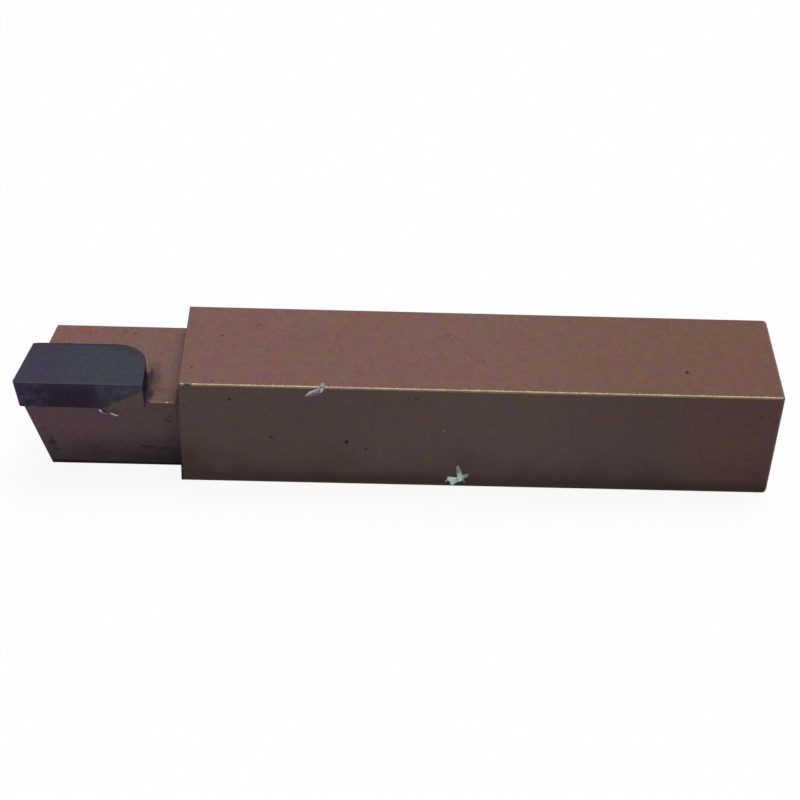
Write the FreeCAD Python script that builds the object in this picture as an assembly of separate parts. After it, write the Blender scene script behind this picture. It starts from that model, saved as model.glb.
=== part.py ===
import FreeCAD, Part
import math
import os

# Brazed carbide turning tool, right hand, in millimetres.
# The shank lies along X with its base on z = 0, the nose points to -X,
# and the side cutting edge runs along the -Y side.

# Shank bar
overall_length = 152.4
bar_section = 25.4
long_edge_radius = 0.25
butt_edge_radius = 0.9

# Neck milled at the nose end of the bar
neck_length = 32.5
neck_step = 5.65
shoulder_root_radius = 0.6
shoulder_top_lean = 0.65
shoulder_side_lean = 0.75
side_clearance_angle = 10.6
side_clearance_top_inset = 0.92
end_clearance_angle = 10.3
end_clearance_plan_angle = 9.6
end_clearance_top_inset = 0.98
neck_edge_break = 0.12

# Carbide tip
tip_length = 25.4
tip_width = 12.7
tip_thickness = 6.35
tip_below_bar_top = 0.7
tip_back_corner_radius = 5.6
tip_end_edge_angle = 11.0
tip_end_relief_angle = 5.5
tip_side_relief_angle = 4.0
tip_nose_radius = 0.5

# Painted lower rear corner of the tip's side, which the wheel didn't reach
rear_facet_length = 7.9
rear_facet_height = 5.0
rear_facet_depth = 0.7

# Braze between tip and pocket
braze_floor_gap = 0.15
braze_wall_gap = 0.3
bead_leg = 0.4
bead_height = 0.45
bead_crest_width = 0.02

# Levels and stations that follow from the sizes above
nose_x = -overall_length / 2
butt_x = overall_length / 2
front_y = -bar_section / 2
back_y = bar_section / 2
bar_top_z = bar_section
shoulder_x = nose_x + neck_length
neck_top_z = bar_top_z - neck_step
tip_top_z = bar_top_z - tip_below_bar_top
tip_base_z = tip_top_z - tip_thickness
pocket_floor_z = tip_base_z - braze_floor_gap
tip_right_x = nose_x + tip_length
tip_back_y = front_y + tip_width

# Reach of the cutting bodies past the bar
reach = 200.0


def vector(x, y, z):
    return FreeCAD.Vector(x, y, z)


def outside_of_plane(point, outward):
    # A block that fills everything on the outward side of a plane
    block = Part.makeBox(2 * reach, 2 * reach, reach, vector(-reach, -reach, 0))
    turn = FreeCAD.Rotation(vector(0, 0, 1), outward)
    block.Placement = FreeCAD.Placement(point, turn)
    return block


def edges_where(solid, test):
    return [edge for edge in solid.Edges if test(edge)]


def edge_points(edge):
    return [vertex.Point for vertex in edge.Vertexes] + [edge.CenterOfMass]


def all_points(edge, test):
    return all(test(point) for point in edge_points(edge))


def near(a, b):
    return abs(a - b) < 1e-4


def on_long_corner(edge):
    def test(point):
        on_side = near(point.y, front_y) or near(point.y, back_y)
        on_face = near(point.z, 0) or near(point.z, bar_top_z)
        return on_side and on_face
    return all_points(edge, test)


def make_bar():
    start = vector(nose_x - 5, front_y, 0)
    bar = Part.makeBox(overall_length + 5, bar_section, bar_section, start)
    long_edges = edges_where(bar, on_long_corner)
    bar = bar.makeFillet(long_edge_radius, long_edges)
    at_butt = lambda point: near(point.x, butt_x)
    butt_edges = edges_where(bar, lambda edge: all_points(edge, at_butt))
    return bar.makeFillet(butt_edge_radius, butt_edges)


def step_cutter():
    # Clears the bar above the neck, with a rounded lower right edge. Its wall
    # leans away from the nose toward the back of the bar.
    start = vector(shoulder_x - reach, -reach / 2, neck_top_z)
    cutter = Part.makeBox(reach, reach, reach / 2, start)

    def at_root(point):
        return near(point.x, shoulder_x) and near(point.z, neck_top_z)
    root = edges_where(cutter, lambda edge: all_points(edge, at_root))
    cutter = cutter.makeFillet(shoulder_root_radius, root)
    cutter.rotate(vector(shoulder_x, front_y, 0), vector(0, 0, 1), -shoulder_top_lean)
    return cutter


def side_clearance_normal():
    tilt = math.radians(side_clearance_angle)
    return vector(0, -math.cos(tilt), -math.sin(tilt))


def side_clearance_point():
    return vector(0, front_y + side_clearance_top_inset, neck_top_z)


def side_cutter():
    # Mills the neck's front face to its clearance, up to the shoulder. Its
    # wall leans toward the nose at the bottom of the bar.
    start = vector(shoulder_x - reach, -reach, -reach)
    cutter = Part.makeBox(reach, reach, 2 * reach, start)

    def at_root(point):
        return near(point.x, shoulder_x) and near(point.y, 0)
    root = edges_where(cutter, lambda edge: all_points(edge, at_root))
    cutter = cutter.makeFillet(shoulder_root_radius, root)
    cutter.rotate(vector(shoulder_x, 0, neck_step), vector(0, 1, 0), shoulder_side_lean)
    cutter.rotate(vector(0, 0, 0), vector(1, 0, 0), side_clearance_angle)
    cutter.translate(side_clearance_point())
    return cutter


def end_plane_normal(plan_angle, clearance_angle):
    plan = math.radians(plan_angle)
    tilt = math.radians(clearance_angle)
    flat = math.cos(tilt)
    return vector(-flat * math.cos(plan), flat * math.sin(plan), -math.sin(tilt))


def end_clearance_cutter():
    point = vector(nose_x + end_clearance_top_inset, front_y, neck_top_z)
    normal = end_plane_normal(end_clearance_plan_angle, end_clearance_angle)
    return outside_of_plane(point, normal)


def tip_plan(offset, level):
    # Outline of the tip's seat: square to the bar at the right, rounded at
    # the back right corner, and open past the nose and the front
    left = nose_x - 10
    front = front_y - 10
    right = tip_right_x + offset
    back = tip_back_y + offset
    radius = tip_back_corner_radius + offset
    middle = vector(right - radius, back - radius, level)
    half = radius * math.sqrt(0.5)
    arc_start = vector(right, middle.y, level)
    arc_middle = vector(middle.x + half, middle.y + half, level)
    arc_end = vector(middle.x, back, level)
    corner_front = vector(right, front, level)
    corner_left = vector(left, front, level)
    corner_back = vector(left, back, level)
    edges = [
        Part.makeLine(corner_left, corner_front),
        Part.makeLine(corner_front, arc_start),
        Part.Arc(arc_start, arc_middle, arc_end).toShape(),
        Part.makeLine(arc_end, corner_back),
        Part.makeLine(corner_back, corner_left),
    ]
    return Part.Wire(edges)


def tip_prism(offset, low, high):
    face = Part.Face(tip_plan(offset, low))
    return face.extrude(vector(0, 0, high - low))


def rear_facet_cutter():
    # Plane through three points of the side face round its lower rear corner
    slope = math.tan(math.radians(tip_side_relief_angle))
    base_y = front_y + tip_thickness * slope
    upper_y = base_y - rear_facet_height * slope
    corner = vector(tip_right_x, base_y + rear_facet_depth, tip_base_z)
    along = vector(tip_right_x - rear_facet_length, base_y, tip_base_z)
    upper = vector(tip_right_x, upper_y, tip_base_z + rear_facet_height)
    normal = (upper - corner).cross(along - corner)
    normal.normalize()
    if normal.y > 0:
        normal = normal * -1
    return outside_of_plane(corner, normal)


def make_tip():
    tip = tip_prism(0, tip_base_z, tip_top_z)
    relief = math.radians(tip_side_relief_angle)
    side_normal = vector(0, -math.cos(relief), -math.sin(relief))
    side_point = vector(0, front_y, tip_top_z)
    tip = tip.cut(outside_of_plane(side_point, side_normal))
    plan = math.radians(tip_end_edge_angle)
    nose_middle = vector(nose_x + tip_nose_radius, front_y + tip_nose_radius, tip_top_z)
    toward_end_edge = vector(-math.cos(plan), math.sin(plan), 0)
    end_point = nose_middle + toward_end_edge * tip_nose_radius
    end_normal = end_plane_normal(tip_end_edge_angle, tip_end_relief_angle)
    tip = tip.cut(outside_of_plane(end_point, end_normal))
    nose_edges = edges_where(tip, is_nose_edge)
    tip = tip.makeFillet(tip_nose_radius, nose_edges)
    return tip.cut(rear_facet_cutter())


def is_nose_edge(edge):
    low = min(point.z for point in edge_points(edge))
    high = max(point.z for point in edge_points(edge))
    full_height = near(low, tip_base_z) and near(high, tip_top_z)
    near_nose = edge.CenterOfMass.x < nose_x + 3 and edge.CenterOfMass.y < front_y + 3
    return full_height and near_nose


def edge_cutter(edge_point, outward, edge_break, low_x, high_x):
    # Takes the sharpness off an edge between two stations along the bar
    inside = edge_point - outward * (edge_break / math.sqrt(2))
    cutter = outside_of_plane(inside, outward)
    start = vector(low_x, -reach, -reach)
    return cutter.common(Part.makeBox(high_x - low_x, 2 * reach, 2 * reach, start))


def break_neck_edges(shank):
    half = math.sqrt(0.5)
    low_x = nose_x - reach
    high_x = shoulder_x - shoulder_root_radius
    back_edge = vector(nose_x, back_y, neck_top_z)
    front_edge = vector(nose_x, front_y + side_clearance_top_inset, neck_top_z)
    back_out = vector(0, half, half)
    front_out = vector(0, -half, half)
    shank = shank.cut(edge_cutter(back_edge, back_out, neck_edge_break, low_x, high_x))
    return shank.cut(edge_cutter(front_edge, front_out, neck_edge_break, low_x, high_x))


def make_shank():
    shank = make_bar()
    shank = shank.cut(step_cutter())
    shank = shank.cut(side_cutter())
    shank = shank.cut(end_clearance_cutter())
    shank = break_neck_edges(shank)
    pocket = tip_prism(braze_wall_gap, pocket_floor_z, bar_top_z)
    return shank.cut(pocket)


def make_bead():
    # A sloped bead on the neck round the tip's back and right walls
    foot = tip_plan(braze_wall_gap + bead_leg, neck_top_z)
    crest = tip_plan(bead_crest_width, neck_top_z + bead_height)
    return Part.makeLoft([foot, crest], True, True)


def make_braze(tip_blank):
    layer = tip_prism(braze_wall_gap, pocket_floor_z, neck_top_z)
    braze = layer.fuse(make_bead())
    braze = braze.cut(tip_blank)
    side = outside_of_plane(side_clearance_point(), side_clearance_normal())
    braze = braze.cut(side)
    return braze.cut(end_clearance_cutter())


def write_part():
    os.makedirs("parts", exist_ok=True)
    tip = make_tip()
    shank = make_shank()
    tip_blank = tip_prism(0, tip_base_z, tip_top_z)
    braze = make_braze(tip_blank)
    shank.exportStep("parts/shank.step")
    tip.exportStep("parts/carbide_tip.step")
    braze.exportStep("parts/braze_layer.step")


write_part()
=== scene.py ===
import math
import random

import bpy
from mathutils import Matrix, Vector, noise


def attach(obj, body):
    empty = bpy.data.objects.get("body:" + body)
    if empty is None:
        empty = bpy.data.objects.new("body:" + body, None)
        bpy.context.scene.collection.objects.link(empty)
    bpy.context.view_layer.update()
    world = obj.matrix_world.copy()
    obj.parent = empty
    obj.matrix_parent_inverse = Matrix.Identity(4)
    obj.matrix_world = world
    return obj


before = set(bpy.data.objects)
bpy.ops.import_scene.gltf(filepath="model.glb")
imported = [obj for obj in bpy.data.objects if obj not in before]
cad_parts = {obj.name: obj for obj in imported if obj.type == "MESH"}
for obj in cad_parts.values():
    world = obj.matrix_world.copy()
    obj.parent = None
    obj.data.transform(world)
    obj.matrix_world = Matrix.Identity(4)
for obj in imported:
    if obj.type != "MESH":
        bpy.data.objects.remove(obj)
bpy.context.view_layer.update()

MM = 0.001

# Sizes of the tool in millimetres, in the row frame
HALF_LENGTH = 76.2
HALF_SECTION = 12.7
BAR_TOP_Z = 25.4
SHOULDER_X = -43.7
NECK_TOP_Z = 19.75
TIP_RIGHT_X = -50.8
TIP_BASE_Z = 18.35
TIP_TOP_Z = 24.7
TIP_CORNER = 5.6
TIP_BACK_LEFT_X = -73.6
FACET_LENGTH = 7.9
FACET_HEIGHT = 5.0
NECK_SIDE_TOP_Y = -11.78
NECK_SIDE_SLOPE = math.tan(math.radians(10.6))

# Camera: where it stands, how it is turned, and its lens
CAMERA_PLACE = (-10.377, -303.047, 263.151)
CAMERA_PITCH = 129.640
CAMERA_YAW = -1.553
CAMERA_ROLL = 1.349
CAMERA_LENS = 85.96

# Light and floor
AMBIENT = 0.13
KEY_TOWARD = (0.18, 0.245, 0.952)
KEY_STRENGTH = 2.74
KEY_SOFTNESS = 40
FLOOR_GLOW = 0.92
FLOOR_SEEN = 0.97
FLOOR_BOUNCE = 0.15
FLOOR_REACH = 6000.0

# Seeds: Blender's own noise, which crumples the scraps, and the draws for the specks and grains
NOISE_SEED = 1
GRAIN_SEED = 11


class Graph:
    """Builds the nodes of a material or of the world. Positions are in millimetres."""

    def __init__(self, owner):
        owner.use_nodes = True
        self.owner = owner
        self.nodes = owner.node_tree.nodes
        self.links = owner.node_tree.links
        self.nodes.clear()
        self._place = None

    def node(self, kind, **settings):
        made = self.nodes.new(kind)
        for key, value in settings.items():
            setattr(made, key, value)
        return made

    def feed(self, socket, value):
        if isinstance(value, bpy.types.NodeSocket):
            self.links.new(value, socket)
        elif value is not None:
            socket.default_value = value

    def math(self, operation, a, b=None, c=None):
        made = self.node("ShaderNodeMath", operation=operation)
        for socket, value in zip(made.inputs, (a, b, c)):
            self.feed(socket, value)
        return made.outputs[0]

    def vector(self, operation, a, b=None):
        made = self.node("ShaderNodeVectorMath", operation=operation)
        self.feed(made.inputs[0], a)
        if operation == "SCALE":
            self.feed(made.inputs["Scale"], b)
        else:
            self.feed(made.inputs[1], b)
        return made.outputs["Value" if operation == "LENGTH" else "Vector"]

    def place(self):
        if self._place is None:
            coordinates = self.node("ShaderNodeTexCoord").outputs["Object"]
            self._place = self.vector("SCALE", coordinates, 1 / MM)
        return self._place

    def axes(self):
        """The place's x, y and z."""
        made = self.node("ShaderNodeSeparateXYZ")
        self.feed(made.inputs[0], self.place())
        return made.outputs[0], made.outputs[1], made.outputs[2]

    def noise(self, scale, detail, stretch=None, shift=0.0):
        """Noise about 0.5, as a value and as a colour. scale is per millimetre."""
        at = self.place()
        if stretch:
            at = self.vector("MULTIPLY", at, stretch)
        if shift:
            at = self.vector("ADD", at, (shift, shift, shift))
        made = self.node("ShaderNodeTexNoise")
        self.feed(made.inputs["Vector"], at)
        made.inputs["Scale"].default_value = scale
        made.inputs["Detail"].default_value = detail
        return made.outputs["Fac"], made.outputs["Color"]

    def ramp(self, value, start, end, low=0.0, high=1.0):
        """Goes smoothly from low, where value is start, to high, where it is end."""
        made = self.node("ShaderNodeMapRange", interpolation_type="SMOOTHSTEP")
        settings = {"Value": value, "From Min": start, "From Max": end, "To Min": low, "To Max": high}
        for name, setting in settings.items():
            self.feed(made.inputs[name], setting)
        return made.outputs[0]

    def mix(self, factor, a, b):
        made = self.node("ShaderNodeMix", data_type="RGBA")
        self.feed(made.inputs[0], factor)
        for socket, value in ((made.inputs[6], a), (made.inputs[7], b)):
            self.feed(socket, (*value, 1.0) if isinstance(value, tuple) else value)
        return made.outputs[2]

    def jitter(self, colour, noise_colour, amounts, gain=None):
        """Multiplies a colour by 1 plus noise, with its own amount for red, green and blue."""
        centred = self.vector("SUBTRACT", noise_colour, (0.5, 0.5, 0.5))
        scaled = self.vector("MULTIPLY", centred, amounts)
        if gain is not None:
            scaled = self.vector("SCALE", scaled, gain)
        factor = self.vector("ADD", scaled, (1.0, 1.0, 1.0))
        return self.vector("MULTIPLY", colour, factor)

    def wander(self, value, noise_value, amount):
        """Moves a value by noise: by amount from end to end."""
        centred = self.math("SUBTRACT", noise_value, 0.5)
        return self.math("MULTIPLY_ADD", centred, amount, value)

    def distance(self, centre, radii):
        """Distance of the place from a centre, 1 at the radii along x, y and z."""
        from_centre = self.vector("SUBTRACT", self.place(), centre)
        scaled = self.vector("MULTIPLY", from_centre, tuple(1 / r for r in radii))
        return self.vector("LENGTH", scaled)

    def blob(self, centre, radii):
        """1 inside an ellipsoid and 0 outside, with a soft edge."""
        return self.ramp(self.distance(centre, radii), 1.35, 0.65)

    def surface(self, colour, roughness, specular, bump, bump_mm, metallic=0.0):
        """Ends a material. bump is a height, and bump_mm is how far a height of 1 stands up."""
        bumper = self.node("ShaderNodeBump")
        bumper.inputs["Strength"].default_value = 1.0
        bumper.inputs["Distance"].default_value = bump_mm * MM
        self.feed(bumper.inputs["Height"], bump)
        shader = self.node("ShaderNodeBsdfPrincipled")
        self.feed(shader.inputs["Base Color"], colour)
        self.feed(shader.inputs["Roughness"], roughness)
        self.feed(shader.inputs["Metallic"], metallic)
        self.feed(shader.inputs["Specular IOR Level"], specular)
        self.feed(shader.inputs["Normal"], bumper.outputs[0])
        return self.output("ShaderNodeOutputMaterial", shader)

    def output(self, kind, shader):
        self.feed(self.node(kind).inputs["Surface"], shader.outputs[0])
        return self.owner


# Linear colours of the paint and the bare steel; the bare edge's colour also serves the painted highlight
PAINT = (0.160, 0.071, 0.057)
PAINT_BUTT = (0.142, 0.066, 0.045)
PAINT_FRONT = (0.136, 0.067, 0.056)
PAINT_FRONT_RIGHT = (0.125, 0.060, 0.052)
PAINT_BUTT_FRONT = (0.184, 0.075, 0.062)
PAINT_BY_TIP = (0.159, 0.082, 0.062)
PAINT_NOSE_END = (0.176, 0.078, 0.068)
HEAT_TINT = (0.190, 0.066, 0.088)
HEAT_TINT_FAR = (0.178, 0.081, 0.076)
WORN_EDGE_AND_HIGHLIGHT = (0.84, 0.62, 0.38)
NICK = (0.040, 0.040, 0.062)
NICK_RIM = (0.180, 0.155, 0.170)

# Linear colours of the soot, flux and grit, and of the painted shade
SOOT_AND_SHADE = (0.016, 0.009, 0.024)
SHADE_BROWN = (0.060, 0.036, 0.028)
FLUX = (0.040, 0.028, 0.036)
GRIT_DARK = (0.046, 0.024, 0.020)
GRIT_BROWN = (0.128, 0.062, 0.054)
GRIT_SOOT = (0.036, 0.022, 0.024)

# Linear colours of the pale residue with its painted shade, and of the grey residue on the edge with its
# painted highlight
RESIDUE_PALE = (0.68, 0.89, 0.79)
RESIDUE_BRIGHT = (0.81, 0.96, 0.88)
RESIDUE_SHADED = (0.36, 0.46, 0.42)
EDGE_RESIDUE_DULL = (0.24, 0.24, 0.30)
EDGE_RESIDUE_HIGHLIGHT = (0.74, 0.80, 0.78)
EDGE_RESIDUE_TOP = (0.27, 0.28, 0.27)

# Linear colours of the carbide and the braze
GROUND_NEAR_NOSE = (0.033, 0.027, 0.052)
GROUND_FAR = (0.030, 0.035, 0.046)
SIDE_NEAR_NOSE = (0.145, 0.100, 0.250)
SIDE_MIDDLE = (0.034, 0.018, 0.054)
SIDE_UPPER = (0.150, 0.120, 0.200)
END_FACE = (0.046, 0.040, 0.066)
SIDE_FAR = (0.104, 0.120, 0.165)
CUTTING_LAND = (0.075, 0.070, 0.085)
BRAZE_DARK = (0.013, 0.009, 0.014)
BRAZE_LIGHT = (0.055, 0.034, 0.024)
BRAZE_FOOT = (0.062, 0.040, 0.042)


def paint_colour(g):
    """Metallic brown paint with fine grain, as a colour and a height."""
    grain_value, grain_colour = g.noise(2.6, 1.0)
    _, patch_colour = g.noise(0.55, 2.0, shift=31.0)
    _, cloud_colour = g.noise(0.045, 2.0, shift=7.0)
    x, y, z = g.axes()
    top = g.mix(g.ramp(x, 5.0, 52.0), PAINT, PAINT_BUTT)
    front = g.mix(g.ramp(x, 12.0, 36.0), PAINT_FRONT, PAINT_FRONT_RIGHT)
    front = g.mix(g.ramp(x, 50.0, 66.0), front, PAINT_BUTT_FRONT)
    on_front = g.ramp(y, -12.50, -12.66)
    base = g.mix(on_front, top, front)
    on_neck = g.ramp(x, SHOULDER_X + 0.2, SHOULDER_X - 0.4)
    base = g.mix(on_neck, base, PAINT_BY_TIP)
    base = g.mix(g.ramp(x, -55.0, -64.0), base, PAINT_NOSE_END)
    below_top = g.ramp(z, NECK_TOP_Z - 0.1, NECK_TOP_Z - 0.3)
    heated = g.math("MULTIPLY", g.ramp(x, SHOULDER_X, SHOULDER_X - 3.0), below_top)
    tint = g.mix(g.ramp(x, -63.0, -53.0), HEAT_TINT, HEAT_TINT_FAR)
    base = g.mix(g.math("MULTIPLY", heated, g.ramp(y, 6.0, -6.0, 0.5, 1.0)), base, tint)
    in_shade = g.math("MAXIMUM", on_front, g.math("MULTIPLY", heated, g.ramp(y, -6.0, -8.0)))
    gain = g.ramp(in_shade, 0.0, 1.0, 1.0, 1.5)
    colour = g.jitter(base, grain_colour, (1.05, 1.25, 3.60), gain)
    colour = g.jitter(colour, patch_colour, (0.50, 0.65, 1.60), gain)
    colour = g.jitter(colour, cloud_colour, (0.12, 0.18, 0.30))
    return colour, grain_value


def edge_distance(g):
    """Distance to the bar's nearest outer edge, in mm."""
    x, y, z = g.axes()
    to_butt = g.math("SUBTRACT", HALF_LENGTH, x)
    to_side = g.math("SUBTRACT", HALF_SECTION, g.math("ABSOLUTE", y))
    from_middle = g.math("ABSOLUTE", g.math("SUBTRACT", z, HALF_SECTION))
    to_face = g.math("SUBTRACT", HALF_SECTION, from_middle)
    smaller = g.math("MINIMUM", to_butt, to_side)
    larger = g.math("MAXIMUM", to_butt, to_side)
    return g.math("MAXIMUM", smaller, g.math("MINIMUM", larger, to_face))


def worn_edges_and_highlight(g):
    """Pale gold line along the top front edge: painted highlight on its rounding, with some wear. Faint
    wear on the other edges.
    """
    x, y, z = g.axes()
    fine, _ = g.noise(2.4, 3.0, stretch=(1.0, 0.5, 0.5), shift=3.0)
    slow, _ = g.noise(0.35, 2.0, stretch=(1.0, 0.2, 0.2), shift=17.0)
    reach = g.math("SUBTRACT", edge_distance(g), g.ramp(y, -12.50, -12.69, 0.06, 0.31))
    near_edge = g.ramp(g.wander(reach, fine, 0.50), 0.25, 0.09)
    strength = g.ramp(slow, 0.30, 0.60, 0.72, 1.0)
    front = g.ramp(y, -8.0, -11.0)
    top = g.ramp(z, 22.0, 24.0)
    past_shoulder = g.ramp(x, SHOULDER_X + 0.1, SHOULDER_X + 0.6)
    before_butt = g.ramp(x, HALF_LENGTH - 0.3, HALF_LENGTH - 0.7)
    on_bar = g.math("MULTIPLY", past_shoulder, before_butt)
    # The top front edge gets the painted highlight as well as wear; the others only faint wear
    strong = g.math("MULTIPLY", g.math("MULTIPLY", front, top), on_bar)
    amount = g.ramp(strong, 0.0, 1.0, 0.10, 1.0)
    return g.math("MULTIPLY", near_edge, g.math("MULTIPLY", amount, strength))


def neck_edge_glints(g):
    """Painted highlight: glinting spots along the neck's top front edge."""
    x, y, z = g.axes()
    from_top = g.math("ABSOLUTE", g.math("SUBTRACT", z, NECK_TOP_Z))
    from_side = g.math("ABSOLUTE", g.math("SUBTRACT", y, NECK_SIDE_TOP_Y))
    near_edge = g.ramp(g.math("MAXIMUM", from_top, from_side), 0.26, 0.10)
    fine, _ = g.noise(1.3, 3.0, stretch=(1.0, 0.2, 0.2), shift=41.0)
    spots = g.ramp(fine, 0.50, 0.62, 0.25, 1.0)
    along = g.math("MULTIPLY", g.ramp(x, -49.8, -49.0), g.ramp(x, -44.4, -45.2))
    return g.math("MULTIPLY", near_edge, g.math("MULTIPLY", spots, along))


def smudge(g, ragged, centre, radii, strength, spread, inner=0.45):
    """A stain with a torn edge round a centre, full strength up to the inner share of its radii."""
    torn = g.wander(g.distance(centre, radii), ragged, spread)
    return g.ramp(torn, 1.15, inner, 0.0, strength)


def strongest(g, masks):
    total = masks[0]
    for mask in masks[1:]:
        total = g.math("MAXIMUM", total, mask)
    return total


def soot_mask(g):
    """Flux and smoke stain on the neck round the tip."""
    ragged, _ = g.noise(1.5, 4.0, shift=12.0)
    return strongest(g, [
        smudge(g, ragged, (-50.2, -4.6, 19.8), (0.8, 4.8, 1.5), 0.82, 1.6, 0.30),
        smudge(g, ragged, (-50.1, -4.4, 19.8), (2.9, 6.6, 1.8), 0.62, 1.3, 0.0),
        smudge(g, ragged, (-50.2, -9.4, 19.4), (1.5, 2.8, 1.5), 0.92, 1.2, 0.20),
        smudge(g, ragged, (-48.3, -7.4, 19.8), (2.0, 2.6, 1.5), 0.26, 1.2, 0.0),
    ])


def smear_mask(g):
    """Dirt rubbed on the neck's side."""
    ragged, _ = g.noise(1.9, 4.0, shift=52.0)
    return strongest(g, [
        smudge(g, ragged, (-50.6, -9.15, 5.8), (2.1, 1.6, 1.10), 0.74, 2.2, 0.3),
        smudge(g, ragged, (-48.6, -9.20, 7.1), (4.8, 1.6, 2.40), 0.30, 1.6, 0.0),
        smudge(g, ragged, (-50.4, -9.15, 7.5), (1.0, 1.6, 0.90), 0.62, 1.8, 0.2),
        smudge(g, ragged, (-47.3, -9.0, 5.2), (2.2, 1.6, 0.95), 0.80, 2.0, 0.3),
        smudge(g, ragged, (-46.3, -9.4, 7.9), (0.9, 1.6, 1.50), 0.65, 2.0, 0.2),
        smudge(g, ragged, (-54.5, -9.6, 9.6), (1.4, 1.6, 1.60), 0.35, 2.4, 0.1),
        smudge(g, ragged, (-46.6, -10.8, 14.2), (1.3, 1.6, 1.10), 0.60, 1.4, 0.0),
        smudge(g, ragged, (-45.7, -11.1, 15.5), (1.0, 1.6, 1.10), 0.55, 1.4, 0.0),
        smudge(g, ragged, (-45.3, -10.3, 11.0), (0.7, 1.6, 0.90), 0.50, 2.0, 0.2),
        smudge(g, ragged, (-70.3, -9.3, 6.6), (1.1, 1.8, 2.30), 0.80, 2.0, 0.2),
        smudge(g, ragged, (-69.7, -9.0, 4.6), (1.0, 1.6, 1.10), 0.80, 2.0, 0.2),
        smudge(g, ragged, (-71.4, -10.2, 11.1), (0.8, 1.6, 1.20), 0.40, 2.0, 0.2),
    ])


def low_shade_and_grime(g):
    """Darkening toward the bottom of the neck's side and along its foot, most at the shoulder: painted
    shade, with some grime.
    """
    x, y, z = g.axes()
    uneven, _ = g.noise(0.5, 3.0, shift=23.0)
    low = g.ramp(g.wander(z, uneven, 4.0), 13.0, 0.5, 0.14, 0.68)
    low = g.math("MULTIPLY", low, g.ramp(x, -68.0, -47.0, 0.68, 1.15))
    low = g.math("MAXIMUM", low, g.ramp(z, 1.8, 0.5, 0.0, 0.95))
    by_shoulder = g.ramp(x, -49.5, -44.2, 0.0, 0.16)
    total = g.math("ADD", low, g.math("MULTIPLY", by_shoulder, g.ramp(z, 19.5, 14.0)))
    on_neck = g.math("MULTIPLY", g.ramp(y, -6.9, -7.4), g.ramp(x, SHOULDER_X + 0.1, SHOULDER_X - 0.1))
    return g.math("MULTIPLY", total, on_neck)


def painted_bar_shade(g):
    """Painted shade: all sides darker toward the bottom, and the bar's also near the shoulder and along
    its foot.
    """
    x, _, z = g.axes()
    uneven, _ = g.noise(0.12, 2.0, shift=61.0)
    low = g.ramp(g.wander(z, uneven, 12.0), 15.0, -1.0, 0.0, 0.38)
    near_shoulder = g.ramp(x, SHOULDER_X + 11.0, SHOULDER_X + 1.0, 0.0, 0.16)
    left = g.math("MULTIPLY", near_shoulder, g.ramp(z, 20.0, 8.0))
    foot = g.ramp(z, 4.0, 0.4, 0.0, 0.26)
    on_bar = g.ramp(x, SHOULDER_X - 0.2, SHOULDER_X + 0.2)
    return g.math("MULTIPLY_ADD", g.math("ADD", left, foot), on_bar, low)


def crease_shade_and_dirt(g):
    """Painted shade, with some grime, in the root of the shoulder, on the neck's top and side."""
    x, y, z = g.axes()
    ragged, _ = g.noise(1.0, 3.0, shift=71.0)
    close = g.ramp(g.wander(x, ragged, 0.5), SHOULDER_X - 1.20, SHOULDER_X - 0.80)
    before = g.ramp(x, SHOULDER_X + 0.5, SHOULDER_X + 0.3)
    below = g.ramp(z, BAR_TOP_Z - 0.10, BAR_TOP_Z - 0.25)
    on_top = g.ramp(z, NECK_TOP_Z - 0.3, NECK_TOP_Z - 0.1)
    behind_front = g.ramp(y, -12.68, -12.60)
    low_on_wall = g.math("MULTIPLY", on_top, g.ramp(z, NECK_TOP_Z + 0.50, NECK_TOP_Z + 0.30))
    inner = g.math("MULTIPLY", behind_front, g.math("MAXIMUM", low_on_wall, 0.6))
    inside = g.math("MULTIPLY", g.math("MULTIPLY", close, before), g.math("MULTIPLY", below, inner))
    toward_front = g.ramp(y, -5.0, -9.0, 0.08, 0.66)
    return g.math("MULTIPLY", inside, toward_front)


def painted_steel():
    g = Graph(bpy.data.materials.new("painted_steel"))
    x, _, _ = g.axes()
    colour, grain = paint_colour(g)
    shade = painted_bar_shade(g)
    # Painted shade toward the bottom, by the shoulder and along the foot
    colour = g.mix(shade, colour, SHADE_BROWN)
    # The low darkening and the crease are painted shade with some grime; the soot and the smears are
    # stained patches
    dark_marks = [low_shade_and_grime(g), crease_shade_and_dirt(g), soot_mask(g), smear_mask(g)]
    for stain in dark_marks:
        colour = g.mix(stain, colour, SOOT_AND_SHADE)
    dirt_and_shade = strongest(g, dark_marks)
    # Painted highlight along the top front edge, with some wear, and along the neck's top front edge
    edge_wear_and_highlight = g.math("MAXIMUM", worn_edges_and_highlight(g), neck_edge_glints(g))
    colour = g.mix(edge_wear_and_highlight, colour, WORN_EDGE_AND_HIGHLIGHT)
    nick_rim = g.blob((SHOULDER_X + 1.7, -12.6, BAR_TOP_Z - 0.10), (0.75, 0.40, 0.40))
    colour = g.mix(nick_rim, colour, NICK_RIM)
    nick = g.blob((SHOULDER_X + 1.7, -12.72, BAR_TOP_Z - 0.28), (0.70, 0.22, 0.28))
    colour = g.mix(nick, colour, NICK)
    roughness = g.ramp(grain, 0.2, 0.8, 0.60, 0.44)
    gloss = g.math("MULTIPLY", g.ramp(x, 20.0, 76.0, 0.64, 0.46), g.ramp(shade, 0.0, 0.60, 1.0, 0.45))
    gloss = g.math("MULTIPLY", gloss, g.ramp(x, SHOULDER_X + 0.2, SHOULDER_X - 0.2, 1.0, 0.80))
    shine = g.math("MULTIPLY", gloss, g.math("MULTIPLY_ADD", dirt_and_shade, -0.85, 1.0))
    return g.surface(colour, roughness, specular=shine, bump=grain, bump_mm=0.03)


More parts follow.
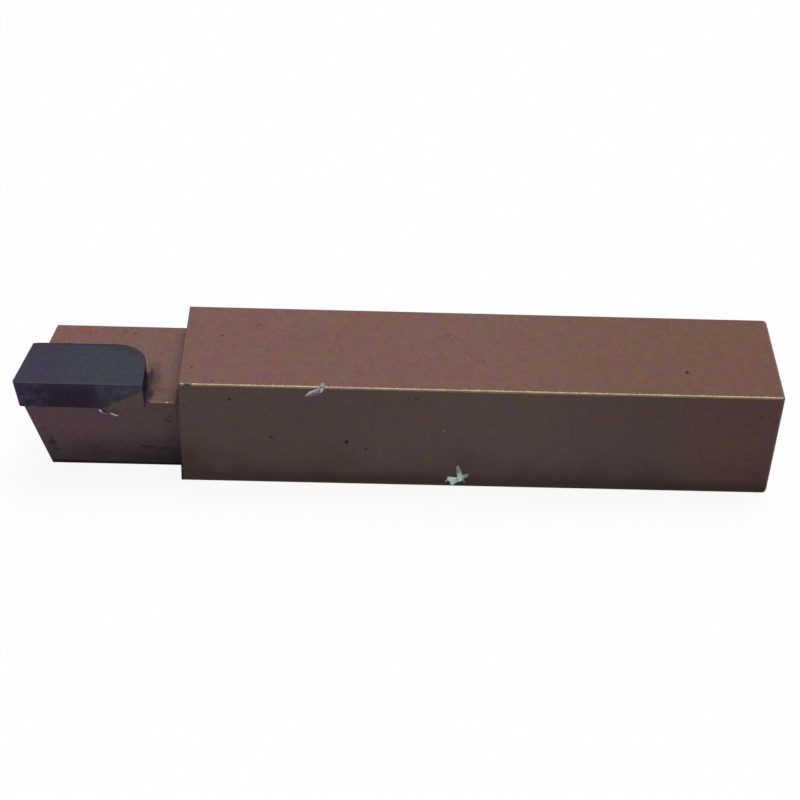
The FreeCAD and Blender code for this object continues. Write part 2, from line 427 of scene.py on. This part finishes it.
def carbide():
    g = Graph(bpy.data.materials.new("carbide"))
    x, y, z = g.axes()
    grain_value, grain_colour = g.noise(2.3, 2.0)
    patch_value, patch_colour = g.noise(0.55, 2.0, shift=9.0)
    wave_value, _ = g.noise(0.30, 2.0, shift=27.0)

    along = g.wander(x, wave_value, 6.0)
    near_nose = g.ramp(along, -62.0, -71.0)
    side = g.mix(g.ramp(along, -61.8, -56.2), SIDE_MIDDLE, SIDE_FAR)
    side = g.mix(g.ramp(along, -67.5, -74.5), side, SIDE_NEAR_NOSE)
    side = g.vector("SCALE", side, g.ramp(patch_value, 0.30, 0.70, 0.45, 1.55))
    side = g.mix(g.ramp(z, TIP_TOP_Z - 2.4, TIP_TOP_Z - 0.3, 0.0, 0.42), side, SIDE_UPPER)
    end = g.vector("SCALE", END_FACE, g.ramp(patch_value, 0.30, 0.70, 0.65, 1.35))
    side = g.mix(g.ramp(y, -12.0, -12.2), end, side)
    ground = g.mix(near_nose, GROUND_FAR, GROUND_NEAR_NOSE)
    on_top = g.ramp(z, TIP_TOP_Z - 0.15, TIP_TOP_Z - 0.03)
    colour = g.mix(on_top, side, ground)
    colour = g.jitter(colour, grain_colour, (2.5, 2.6, 2.8))
    colour = g.jitter(colour, patch_colour, (0.7, 0.5, 1.0))
    dark_marks = g.math("MULTIPLY", tip_stains(g), on_top)
    colour = g.mix(dark_marks, colour, SOOT_AND_SHADE)
    land = g.math("MULTIPLY", g.ramp(y, -12.1, -12.3), on_top)
    colour = g.mix(g.math("MULTIPLY", land, 0.25), colour, CUTTING_LAND)
    shine = g.ramp(along, -62.0, -56.5, 0.15, 0.26)
    shine = g.math("MAXIMUM", shine, g.math("MULTIPLY", on_top, 0.24))

    paint, _ = paint_colour(g)
    painted = facet_line(g)
    colour = g.mix(painted, colour, paint)
    walls = g.ramp(tip_edge_depth(g), 0.06, 0.01)
    colour = g.mix(g.math("MULTIPLY", walls, 0.95), colour, SOOT_AND_SHADE)
    roughness = g.ramp(grain_value, 0.2, 0.8, 0.38, 0.55)
    shine = g.math("MAXIMUM", shine, g.math("MULTIPLY", painted, 0.42))
    shine = g.math("MULTIPLY", shine, g.math("MULTIPLY_ADD", walls, -0.7, 1.0))
    return g.surface(colour, roughness, specular=shine, bump=grain_value, bump_mm=0.010)


def tip_edge_depth(g):
    """Distance inward from the tip's back and right walls and the round corner between them."""
    x, y, _ = g.axes()
    past_x = g.math("ADD", x, -TIP_RIGHT_X + TIP_CORNER)
    past_y = g.math("ADD", y, TIP_CORNER)
    outer_x = g.math("MAXIMUM", past_x, 0.0)
    outer_y = g.math("MAXIMUM", past_y, 0.0)
    squared = g.math("MULTIPLY_ADD", outer_x, outer_x, g.math("MULTIPLY", outer_y, outer_y))
    return g.math("SUBTRACT", TIP_CORNER, g.math("SQRT", squared))


def tip_stains(g):
    """Flux burnt on along the back edge of the tip's top, and a few spots on it."""
    _, y, _ = g.axes()
    ragged, _ = g.noise(2.0, 3.0, shift=33.0)
    torn = g.wander(tip_edge_depth(g), ragged, 0.5)
    rim = g.math("MULTIPLY", g.ramp(torn, 0.70, 0.20, 0.0, 0.52), g.ramp(y, -7.5, -4.5))
    return strongest(g, [
        rim,
        smudge(g, ragged, (-55.8, -0.9, TIP_TOP_Z), (3.0, 1.4, 1.0), 0.62, 0.7, 0.3),
        smudge(g, ragged, (-53.6, -2.4, TIP_TOP_Z), (1.6, 1.5, 1.0), 0.50, 0.7, 0.3),
        smudge(g, ragged, (-66.8, -0.4, TIP_TOP_Z), (0.45, 0.8, 1.0), 0.55, 0.8),
        smudge(g, ragged, (-68.5, -1.4, TIP_TOP_Z), (0.50, 1.2, 1.0), 0.35, 0.8),
        smudge(g, ragged, (-57.2, -0.9, TIP_TOP_Z), (0.45, 0.7, 1.0), 0.40, 0.8),
        smudge(g, ragged, (-52.1, -9.9, TIP_TOP_Z), (0.40, 0.6, 1.0), 0.35, 0.8),
    ])


def facet_line(g):
    """Painted lower rear corner of the tip's side: below a slanted ragged line."""
    x, y, z = g.axes()
    ragged, _ = g.noise(1.4, 3.0, shift=2.0)
    along = g.math("SUBTRACT", x, TIP_RIGHT_X - FACET_LENGTH)
    line_z = g.math("MULTIPLY_ADD", along, FACET_HEIGHT / FACET_LENGTH, TIP_BASE_Z)
    below = g.wander(g.math("SUBTRACT", line_z, z), ragged, 1.0)
    on_side = g.ramp(y, -11.2, -11.4)
    return g.math("MULTIPLY", g.ramp(below, -0.12, 0.12), on_side)


def braze():
    g = Graph(bpy.data.materials.new("braze"))
    grain_value, grain_colour = g.noise(3.0, 3.0)
    patch_value, _ = g.noise(0.8, 3.0, shift=5.0)
    x, _, _ = g.axes()
    colour = g.mix(g.ramp(patch_value, 0.50, 0.80), BRAZE_DARK, BRAZE_LIGHT)
    beside_tip = g.ramp(x, TIP_RIGHT_X + 0.25, TIP_RIGHT_X + 0.65)
    foot = g.math("MULTIPLY", beside_tip, g.ramp(patch_value, 0.30, 0.60, 0.5, 1.0))
    colour = g.mix(foot, colour, BRAZE_FOOT)
    colour = g.jitter(colour, grain_colour, (0.9, 0.9, 0.9))
    roughness = g.ramp(grain_value, 0.2, 0.8, 0.45, 0.70)
    return g.surface(colour, roughness, specular=0.25, bump=grain_value, bump_mm=0.04)


def pale_residue():
    """Pale crusted residue with shiny patches.

    The upper and right lobes of the scrap on the bar's side and the tail of the left one on the
    neck are duller: painted shade, a shaded copy of the residue's colour.
    """
    g = Graph(bpy.data.materials.new("residue_pale"))
    x, _, z = g.axes()
    grain_value, grain_colour = g.noise(4.0, 3.0)
    patch_value, _ = g.noise(0.8, 3.0, shift=8.0)
    shaded_lobes = g.math("MAXIMUM", g.ramp(x, 13.25, 13.75), g.ramp(z, 3.3, 4.4, 0.0, 0.9))
    on_scrap = g.ramp(x, 9.2, 9.7)
    neck_tail = g.math("MULTIPLY", g.ramp(x, -59.55, -59.15, 0.0, 0.95), g.ramp(x, -57.8, -58.0))
    shade_share = g.math("MAXIMUM", g.math("MULTIPLY", shaded_lobes, on_scrap), neck_tail)
    colour = g.mix(g.ramp(patch_value, 0.35, 0.65), RESIDUE_PALE, RESIDUE_BRIGHT)
    # Painted shade on those lobes and on the neck scrap's tail
    colour = g.mix(shade_share, colour, RESIDUE_SHADED)
    colour = g.jitter(colour, grain_colour, (0.35, 0.28, 0.35))
    roughness = g.ramp(grain_value, 0.2, 0.8, 0.28, 0.50)
    shiny = g.ramp(patch_value, 0.38, 0.62, 0.18, 0.47)
    metal = g.math("MULTIPLY", shiny, g.ramp(shade_share, 0.0, 1.0, 1.0, 0.5))
    return g.surface(colour, roughness, specular=0.9, bump=grain_value, bump_mm=0.04, metallic=metal)


def grey_residue():
    """Grey residue over the edge's wear, duller below. Along its upper rim and at its right end it is
    pale: a painted highlight.
    """
    g = Graph(bpy.data.materials.new("residue_grey"))
    x, _, z = g.axes()
    grain_value, grain_colour = g.noise(4.0, 3.0)
    patch_value, _ = g.noise(1.1, 3.0, shift=8.0)
    rim_z = g.math("MULTIPLY_ADD", g.math("ADD", x, 18.6), 0.62, 23.50)
    above = g.wander(g.math("SUBTRACT", z, rim_z), patch_value, 0.6)
    right_end = g.math("MULTIPLY", g.ramp(x, -16.05, -15.70), g.ramp(z, 24.0, 24.4))
    rim_and_end_highlight = g.math("MAXIMUM", g.ramp(above, -0.12, 0.18), right_end)
    # Painted highlight on the rim and the right end
    colour = g.mix(rim_and_end_highlight, EDGE_RESIDUE_DULL, EDGE_RESIDUE_HIGHLIGHT)
    on_top = g.ramp(z, BAR_TOP_Z - 0.01, BAR_TOP_Z + 0.07)
    colour = g.mix(on_top, colour, EDGE_RESIDUE_TOP)
    colour = g.jitter(colour, grain_colour, (0.35, 0.28, 0.35))
    roughness = g.ramp(grain_value, 0.2, 0.8, 0.30, 0.50)
    below_top = g.ramp(z, BAR_TOP_Z + 0.07, BAR_TOP_Z - 0.01)
    metal = g.math("MULTIPLY", g.math("MULTIPLY", rim_and_end_highlight, 0.34), below_top)
    return g.surface(colour, roughness, specular=0.7, bump=grain_value, bump_mm=0.04, metallic=metal)


def grit(name, tone):
    g = Graph(bpy.data.materials.new(name))
    grain_value, grain_colour = g.noise(5.0, 2.0)
    colour = g.jitter(tone, grain_colour, (0.8, 0.8, 0.8))
    roughness = g.ramp(grain_value, 0.2, 0.8, 0.5, 0.8)
    return g.surface(colour, roughness, specular=0.2, bump=grain_value, bump_mm=0.02)


def dress_node(name, material):
    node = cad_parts[name]
    if not node.material_slots:
        node.data.materials.append(None)
    for slot in node.material_slots:
        slot.link = "OBJECT"
        slot.material = material


def new_object(name, points, faces, material):
    mesh = bpy.data.meshes.new(name)
    mesh.from_pydata([Vector(p) * MM for p in points], [], faces)
    mesh.update()
    made = bpy.data.objects.new(name, mesh)
    bpy.context.scene.collection.objects.link(made)
    mesh.materials.append(material)
    return made


# Points round each ring of a lobe or a grain
RING = 12


def ring_faces(count, across):
    """The faces between count rings of across points each."""
    faces = []
    for k in range(count - 1):
        for j in range(across):
            a, b = k * across + j, k * across + (j + 1) % across
            faces.append((a, b, b + across, a + across))
    return faces


def tube_faces(count, across):
    """The faces of a tube of count rings, with both ends closed."""
    ends = [tuple(reversed(range(across))), tuple(range((count - 1) * across, count * across))]
    return ring_faces(count, across) + ends


def joined(meshes):
    """The points and faces of several meshes as those of one."""
    points, faces = [], []
    for more_points, more_faces in meshes:
        offset = len(points)
        points += more_points
        faces += [tuple(i + offset for i in face) for face in more_faces]
    return points, faces


def shade_smooth(mesh):
    for face in mesh.polygons:
        face.use_smooth = True


def lobe_mesh(spine, outward, thickness):
    """A flat tapered lobe along a spine of (point, half width), with closed ends."""
    points = []
    count = len(spine)
    for k, (point, half_width) in enumerate(spine):
        here = Vector(point)
        before = Vector(spine[max(k - 1, 0)][0])
        after = Vector(spine[min(k + 1, count - 1)][0])
        along = (after - before).normalized()
        side = along.cross(outward).normalized()
        for j in range(RING):
            angle = 2 * math.pi * j / RING
            across = side * (math.cos(angle) * half_width)
            up = outward * (math.sin(angle) * min(thickness, half_width))
            points.append(here + across + up)
    return points, tube_faces(count, RING)


def make_fleck(name, lobes, outward, thickness, voxel, material, crumple):
    """A torn scrap of residue: lobes melted into one skin and crumpled along outward.

    Each lobe is its spine and the direction that its flat side faces.
    """
    points, faces = joined([lobe_mesh(spine, Vector(facing), thickness) for spine, facing in lobes])
    rough = new_object(name + "_rough", points, faces, material)
    remesh = rough.modifiers.new("remesh", "REMESH")
    remesh.mode = "VOXEL"
    remesh.voxel_size = voxel * MM
    smooth = rough.modifiers.new("smooth", "SMOOTH")
    smooth.factor = 0.5
    smooth.iterations = 2
    graph = bpy.context.evaluated_depsgraph_get()
    mesh = bpy.data.meshes.new_from_object(rough.evaluated_get(graph))
    bpy.data.objects.remove(rough)
    up = Vector(outward)
    for vertex in mesh.vertices:
        at = vertex.co / MM
        fold = math.sin(at.z * 5.2 + 1.6 * noise.noise(at * 0.9))
        wave = 0.45 * fold + noise.noise(at * 1.3) + 0.5 * noise.noise(at * 2.8)
        shift = noise.noise_vector(at * 2.2)
        vertex.co += (up * wave * crumple + shift * crumple * 0.3) * MM
    mesh.name = name
    mesh.materials.clear()
    mesh.materials.append(material)
    shade_smooth(mesh)
    made = bpy.data.objects.new(name, mesh)
    bpy.context.scene.collection.objects.link(made)
    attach(made, "root")
    return made


# Directions, and the ways that the scraps' lobes face
X_AXIS = Vector((1, 0, 0))
Y_AXIS = Vector((0, 1, 0))
Z_AXIS = Vector((0, 0, 1))
FRONT = (0.0, -1.0, 0.0)
LEANING = (0.0, -0.60, 0.80)
TILTED = (0.0, -0.80, 0.60)
EDGE = (0.0, -math.sqrt(0.5), math.sqrt(0.5))
NECK_OUT = Vector((0.0, -1.0, -NECK_SIDE_SLOPE)).normalized()

# The scrap on the side: share by which it is pressed toward the bar, and how far it is let down
FLATTENED = 0.22
LOWERED = 0.06

# Spines of the scraps: x, z, how far the point stands off the face, and half the lobe's width
EDGE_SCRAP_FRONT = [
    (-18.90, 23.20, 0.25, 0.14),
    (-18.35, 23.58, 0.25, 0.40),
    (-17.60, 24.00, 0.22, 0.60),
    (-16.80, 24.32, 0.20, 0.76),
    (-16.15, 24.68, 0.15, 0.70),
    (-15.75, 25.05, 0.15, 0.52),
]
SIDE_SCRAP = [
    (TILTED, [
        (12.75, 2.50, 0.30, 0.52),
        (12.64, 3.50, 0.25, 0.54),
        (12.46, 4.50, 0.20, 0.52),
        (12.26, 5.20, 0.10, 0.42),
        (12.10, 5.62, 0.05, 0.18),
    ]),
    (LEANING, [
        (13.10, 2.45, 0.20, 0.56),
        (12.20, 2.20, 0.25, 0.74),
        (11.30, 2.20, 0.20, 0.84),
        (10.60, 2.45, 0.15, 0.66),
        (10.25, 2.60, 0.10, 0.40),
    ]),
    (TILTED, [(11.50, 2.20, 0.45, 1.00), (11.35, 1.30, 0.30, 0.70), (11.20, 0.50, 0.10, 0.28)]),
    (LEANING, [(13.00, 2.80, 0.15, 0.44), (13.80, 3.28, 0.15, 0.38), (14.50, 3.45, 0.05, 0.18)]),
    (LEANING, [(13.10, 2.60, 0.15, 0.38), (13.90, 2.96, 0.15, 0.30), (14.40, 3.08, 0.05, 0.18)]),
    (LEANING, [(13.10, 2.25, 0.05, 0.34), (13.55, 1.90, 0.05, 0.26), (13.85, 1.18, 0.05, 0.15)]),
    (LEANING, [(10.50, 2.05, 0.05, 0.18), (10.15, 1.70, 0.05, 0.14), (9.85, 1.34, 0.05, 0.13)]),
]
NECK_SCRAP_LEFT = [
    (-59.78, 17.38, 0.2, 0.20),
    (-59.56, 17.02, 0.2, 0.27),
    (-59.25, 16.68, 0.2, 0.22),
    (-58.92, 16.42, 0.2, 0.15),
    (-58.52, 16.22, 0.1, 0.11),
    (-58.20, 16.16, 0.1, 0.07),
]
NECK_SCRAP_RIGHT = [
    (-57.62, 16.42, 0.2, 0.20),
    (-57.27, 16.22, 0.2, 0.26),
    (-56.82, 15.99, 0.2, 0.26),
    (-56.42, 15.78, 0.2, 0.20),
    (-56.12, 15.64, 0.1, 0.10),
]

# The same on the bar's top, with y for z
EDGE_SCRAP_TOP = [
    (-15.62, -12.72, 0.10, 0.50),
    (-15.48, -12.25, 0.05, 0.48),
    (-15.52, -11.80, 0.05, 0.44),
    (-15.58, -11.45, 0.05, 0.22),
]


def on_front(x, z, lift):
    return (x, -HALF_SECTION - lift, z)


def on_top(x, y, lift):
    return (x, y, BAR_TOP_Z + lift)


def on_neck_side(x, z, lift):
    y = NECK_SIDE_TOP_Y + (NECK_TOP_Z - z) * NECK_SIDE_SLOPE
    return tuple(Vector((x, y, z)) + NECK_OUT * lift)


def spine_on(place, stations):
    """A lobe's points and half widths, put on a face by one of the three functions above."""
    return [(place(a, b, lift), half_width) for a, b, lift, half_width in stations]


def edge_fleck(material):
    front_part = spine_on(on_front, EDGE_SCRAP_FRONT)
    top_part = [(on_front(-15.85, 24.75, 0.15), 0.52)] + spine_on(on_top, EDGE_SCRAP_TOP)
    lobes = [(front_part, EDGE), (top_part, EDGE)]
    make_fleck("residue_on_edge", lobes, EDGE, 0.26, 0.07, material, 0.13)


def side_fleck(material):
    lobes = [(spine_on(on_front, stations), facing) for facing, stations in SIDE_SCRAP]
    scrap = make_fleck("residue_on_side", lobes, FRONT, 0.15, 0.05, material, 0.20)
    for vertex in scrap.data.vertices:
        proud = max(-HALF_SECTION * MM - vertex.co.y, 0.0)
        vertex.co.y += FLATTENED * proud
        vertex.co.z -= LOWERED * MM


def neck_flecks(material):
    left = [(spine_on(on_neck_side, NECK_SCRAP_LEFT), LEANING)]
    right = [(spine_on(on_neck_side, NECK_SCRAP_RIGHT), LEANING)]
    make_fleck("residue_on_neck_left", left, LEANING, 0.11, 0.04, material, 0.05)
    make_fleck("residue_on_neck_right", right, LEANING, 0.11, 0.04, material, 0.05)


# The burnt flux bead's section: share of its width outward, and depth below the tip's top
FLUX_PROFILE = (
    (-0.06, 0.005), (0.55, 0.01), (0.92, 0.05), (1.0, 0.14), (0.80, 0.32), (0.40, 0.62), (-0.06, 0.85),
)
FLUX_STEP = 0.35
FLUX_CORNER_STEPS = 8
FLUX_CORNER_TURN = 26.0
FLUX_LUMP_X = -66.7
FLUX_LUMP_HEIGHT = 0.38
FLUX_LUMP_SPREAD = 0.26


def flux_stations():
    """Points along the tip's back edge and into its round corner, each with its outward direction."""
    corner_x = TIP_RIGHT_X - TIP_CORNER
    straight = int((corner_x - TIP_BACK_LEFT_X) / FLUX_STEP)
    stations = []
    for k in range(straight + 1):
        x = TIP_BACK_LEFT_X + (corner_x - TIP_BACK_LEFT_X) * k / straight
        stations.append((Vector((x, 0.0, 0.0)), Vector((0.0, 1.0, 0.0))))
    for k in range(1, FLUX_CORNER_STEPS + 1):
        angle = math.radians(90 - FLUX_CORNER_TURN * k / FLUX_CORNER_STEPS)
        away = Vector((math.cos(angle), math.sin(angle), 0.0))
        stations.append((Vector((corner_x, -TIP_CORNER, 0.0)) + away * TIP_CORNER, away))
    return stations


def flux_width(k, count, edge):
    """The bead grows along the edge, wanders, has one lump, and runs out at both ends."""
    swell = min(1.0, (k + 0.2) / 2.0, (count - 0.8 - k) / 9.0)
    grown = 0.25 + 0.18 * k / (count - 1)
    width = grown * swell * (1.0 + 0.40 * noise.noise(edge * 1.1))
    return width + FLUX_LUMP_HEIGHT * math.exp(-((edge.x - FLUX_LUMP_X) / FLUX_LUMP_SPREAD) ** 2)


def flux_rim(material):
    """A thin bead of burnt flux outside the tip, along its back edge and into its round corner."""
    stations = flux_stations()
    count = len(stations)
    points = []
    for k, (edge, away) in enumerate(stations):
        width = max(flux_width(k, count, edge), 0.01)
        for out, down in FLUX_PROFILE:
            sunk = out if out < 0 else out * width
            points.append(edge + away * sunk + Vector((0.0, 0.0, TIP_TOP_Z - down)))
    made = new_object("flux_rim", points, tube_faces(count, len(FLUX_PROFILE)), material)
    shade_smooth(made.data)
    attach(made, "root")


# Specks of grit on each face: x, then y or z, and radius
BOLD_SPECKS = {"top": [(57.4, -5.3, 0.42)], "neck": [], "front": [(-10.5, 11.3, 0.42)]}
PALE_SPECKS = {"top": [], "neck": [], "front": [(9.0, 14.8, 0.12)]}
FAINT_SPECKS = {
    "top": [
        (-36.1, 3.2, 0.40), (-28.9, 6.9, 0.36), (-41.6, -7.4, 0.32), (-37.1, -11.6, 0.32),
        (9.6, 4.8, 0.34), (16.6, -3.4, 0.32), (73.6, -2.7, 0.26),
    ],
    "neck": [(-56.9, 11.0, 0.36), (-54.6, 10.4, 0.38), (-64.0, 9.7, 0.28)],
    "front": [
        (-33.8, 21.8, 0.36), (-25.6, 12.2, 0.32), (3.0, 22.9, 0.24), (-6.6, 9.6, 0.24),
        (72.0, 20.3, 0.25),
    ],
}

# A grain's rings from its foot up: share of its radius and share of its height
GRAIN_RINGS = ((1.0, -0.3), (0.72, 0.55), (0.35, 0.92))

# Grains of soot: how many are tried beside the tip, and for each patch on the neck's side its
# middle's x and z, its spread along both, and its grains
GRAINS_BESIDE_TIP = 34
SOOT_PATCHES = ((-50.2, 6.0, 1.1, 0.45, 16), (-47.4, 5.0, 0.9, 0.40, 14), (-46.3, 14.6, 0.5, 0.6, 6))


def speck_mesh(centre, u, v, outward, radius, chance, height):
    """A low crowned grain with a ragged rim, longer along v than along u."""
    points = []
    rim = [radius * chance.uniform(0.80, 1.20) for _ in range(RING)]
    for share, level in GRAIN_RINGS:
        for j in range(RING):
            angle = 2 * math.pi * j / RING
            flat = u * (math.cos(angle) * rim[j] * share) + v * (math.sin(angle) * rim[j] * share * 1.3)
            points.append(centre + flat + outward * height * level)
    points.append(centre + outward * height)
    faces = ring_faces(len(GRAIN_RINGS), RING)
    crown = len(points) - 1
    last = crown - RING
    for j in range(RING):
        faces.append((last + j, last + (j + 1) % RING, crown))
    faces.append(tuple(reversed(range(RING))))
    return points, faces


def speck_frames(places):
    """What speck_mesh needs for each speck: centre, two directions on the face, outward, radius."""
    frames = []
    for x, y, radius in places["top"]:
        frames.append((Vector(on_top(x, y, 0)), X_AXIS, Y_AXIS, Z_AXIS, radius))
    for x, y, radius in places["neck"]:
        frames.append((Vector((x, y, NECK_TOP_Z)), X_AXIS, Y_AXIS, Z_AXIS, radius))
    for x, z, radius in places["front"]:
        frames.append((Vector(on_front(x, z, 0)), X_AXIS, Z_AXIS, Vector(FRONT), radius))
    return frames


def make_specks(name, frames, height, material, chance):
    points, faces = joined([speck_mesh(*place, chance, height) for place in frames])
    made = new_object(name, points, faces, material)
    shade_smooth(made.data)
    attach(made, "root")


def soot_frames(chance):
    """What speck_mesh needs for the grains beside the tip and in the smears on the neck's side."""
    frames = []
    for _ in range(GRAINS_BESIDE_TIP):
        x = -50.35 + abs(chance.gauss(0.0, 0.75))
        y = chance.gauss(-4.6, 2.4)
        if y > -10.5 and x < -48.0:
            centre = Vector((x, y, NECK_TOP_Z))
            frames.append((centre, X_AXIS, Y_AXIS, Z_AXIS, chance.uniform(0.07, 0.14)))
    slope_axis = X_AXIS.cross(NECK_OUT)
    for x0, z0, spread_x, spread_z, count in SOOT_PATCHES:
        for _ in range(count):
            x, z = chance.gauss(x0, spread_x), chance.gauss(z0, spread_z)
            centre = Vector(on_neck_side(x, z, 0.0))
            frames.append((centre, X_AXIS, slope_axis, NECK_OUT, chance.uniform(0.08, 0.16)))
    return frames


def make_camera():
    data = bpy.data.cameras.new("camera")
    data.sensor_width = 36.0
    data.lens = CAMERA_LENS
    data.clip_start = 0.01
    data.clip_end = 20.0
    pitch, yaw, roll = (math.radians(a) for a in (CAMERA_PITCH, CAMERA_YAW, CAMERA_ROLL))
    turn = Matrix.Rotation(roll, 3, "Z") @ Matrix.Rotation(yaw, 3, "Y") @ Matrix.Rotation(pitch, 3, "X")
    # The angles are those of a camera that looks along +Z with +Y down. Blender's has both reversed.
    facing = turn.transposed() @ Matrix.Diagonal((1.0, -1.0, -1.0))
    camera = bpy.data.objects.new("camera", data)
    bpy.context.scene.collection.objects.link(camera)
    camera.matrix_world = Matrix.Translation(Vector(CAMERA_PLACE) * MM) @ facing.to_4x4()
    bpy.context.scene.camera = camera


def make_key_light():
    data = bpy.data.lights.new("key", "SUN")
    data.energy = KEY_STRENGTH
    data.angle = math.radians(KEY_SOFTNESS)
    lamp = bpy.data.objects.new("key", data)
    bpy.context.scene.collection.objects.link(lamp)
    lamp.rotation_euler = Vector(KEY_TOWARD).to_track_quat("Z", "Y").to_euler()
    lamp.visible_glossy = False


def background_rays(g):
    """1 for the rays that see the background: camera, glossy and transmission rays."""
    path = g.node("ShaderNodeLightPath").outputs
    either = g.math("MAXIMUM", path["Is Camera Ray"], path["Is Glossy Ray"])
    return g.math("MAXIMUM", either, path["Is Transmission Ray"])


def make_world():
    world = bpy.data.worlds.new("studio")
    bpy.context.scene.world = world
    g = Graph(world)
    shader = g.node("ShaderNodeBackground")
    g.feed(shader.inputs["Strength"], g.ramp(background_rays(g), 0.0, 1.0, AMBIENT, 1.0))
    g.output("ShaderNodeOutputWorld", shader)


def make_floor():
    """Plain pale floor. It glows only for the rays that see the background, and keeps its shadow."""
    reach = FLOOR_REACH
    corners = [(-reach, -reach, 0), (reach, -reach, 0), (reach, reach, 0), (-reach, reach, 0)]
    g = Graph(bpy.data.materials.new("floor"))
    seen = background_rays(g)
    matte = g.node("ShaderNodeBsdfDiffuse")
    g.feed(matte.inputs["Color"], g.ramp(seen, 0.0, 1.0, FLOOR_BOUNCE, FLOOR_SEEN))
    glow = g.node("ShaderNodeEmission")
    blend = g.node("ShaderNodeMixShader")
    g.feed(blend.inputs[0], g.math("MULTIPLY", seen, FLOOR_GLOW))
    g.feed(blend.inputs[1], matte.outputs[0])
    g.feed(blend.inputs[2], glow.outputs[0])
    floor = new_object("floor", corners, [(0, 1, 2, 3)], g.output("ShaderNodeOutputMaterial", blend))


make_camera()
make_world()
make_key_light()
make_floor()

dress_node("shank", painted_steel())
dress_node("carbide_tip", carbide())
dress_node("braze_layer", braze())

# Without a seed Blender's vector noise differs from run to run
noise.seed_set(NOISE_SEED)
edge_fleck(grey_residue())
pale = pale_residue()
side_fleck(pale)
neck_flecks(pale)

flux_rim(grit("flux", FLUX))

chance = random.Random(GRAIN_SEED)
make_specks("grit_specks", speck_frames(BOLD_SPECKS), 0.07, grit("grit_dark", GRIT_DARK), chance)
make_specks("grit_specks_faint", speck_frames(FAINT_SPECKS), 0.04, grit("grit_brown", GRIT_BROWN), chance)
make_specks("soot_grains", soot_frames(chance), 0.04, grit("grit_soot", GRIT_SOOT), chance)
make_specks("grit_specks_pale", speck_frames(PALE_SPECKS), 0.06, pale, chance)

bpy.context.scene.view_settings.view_transform = "Standard"
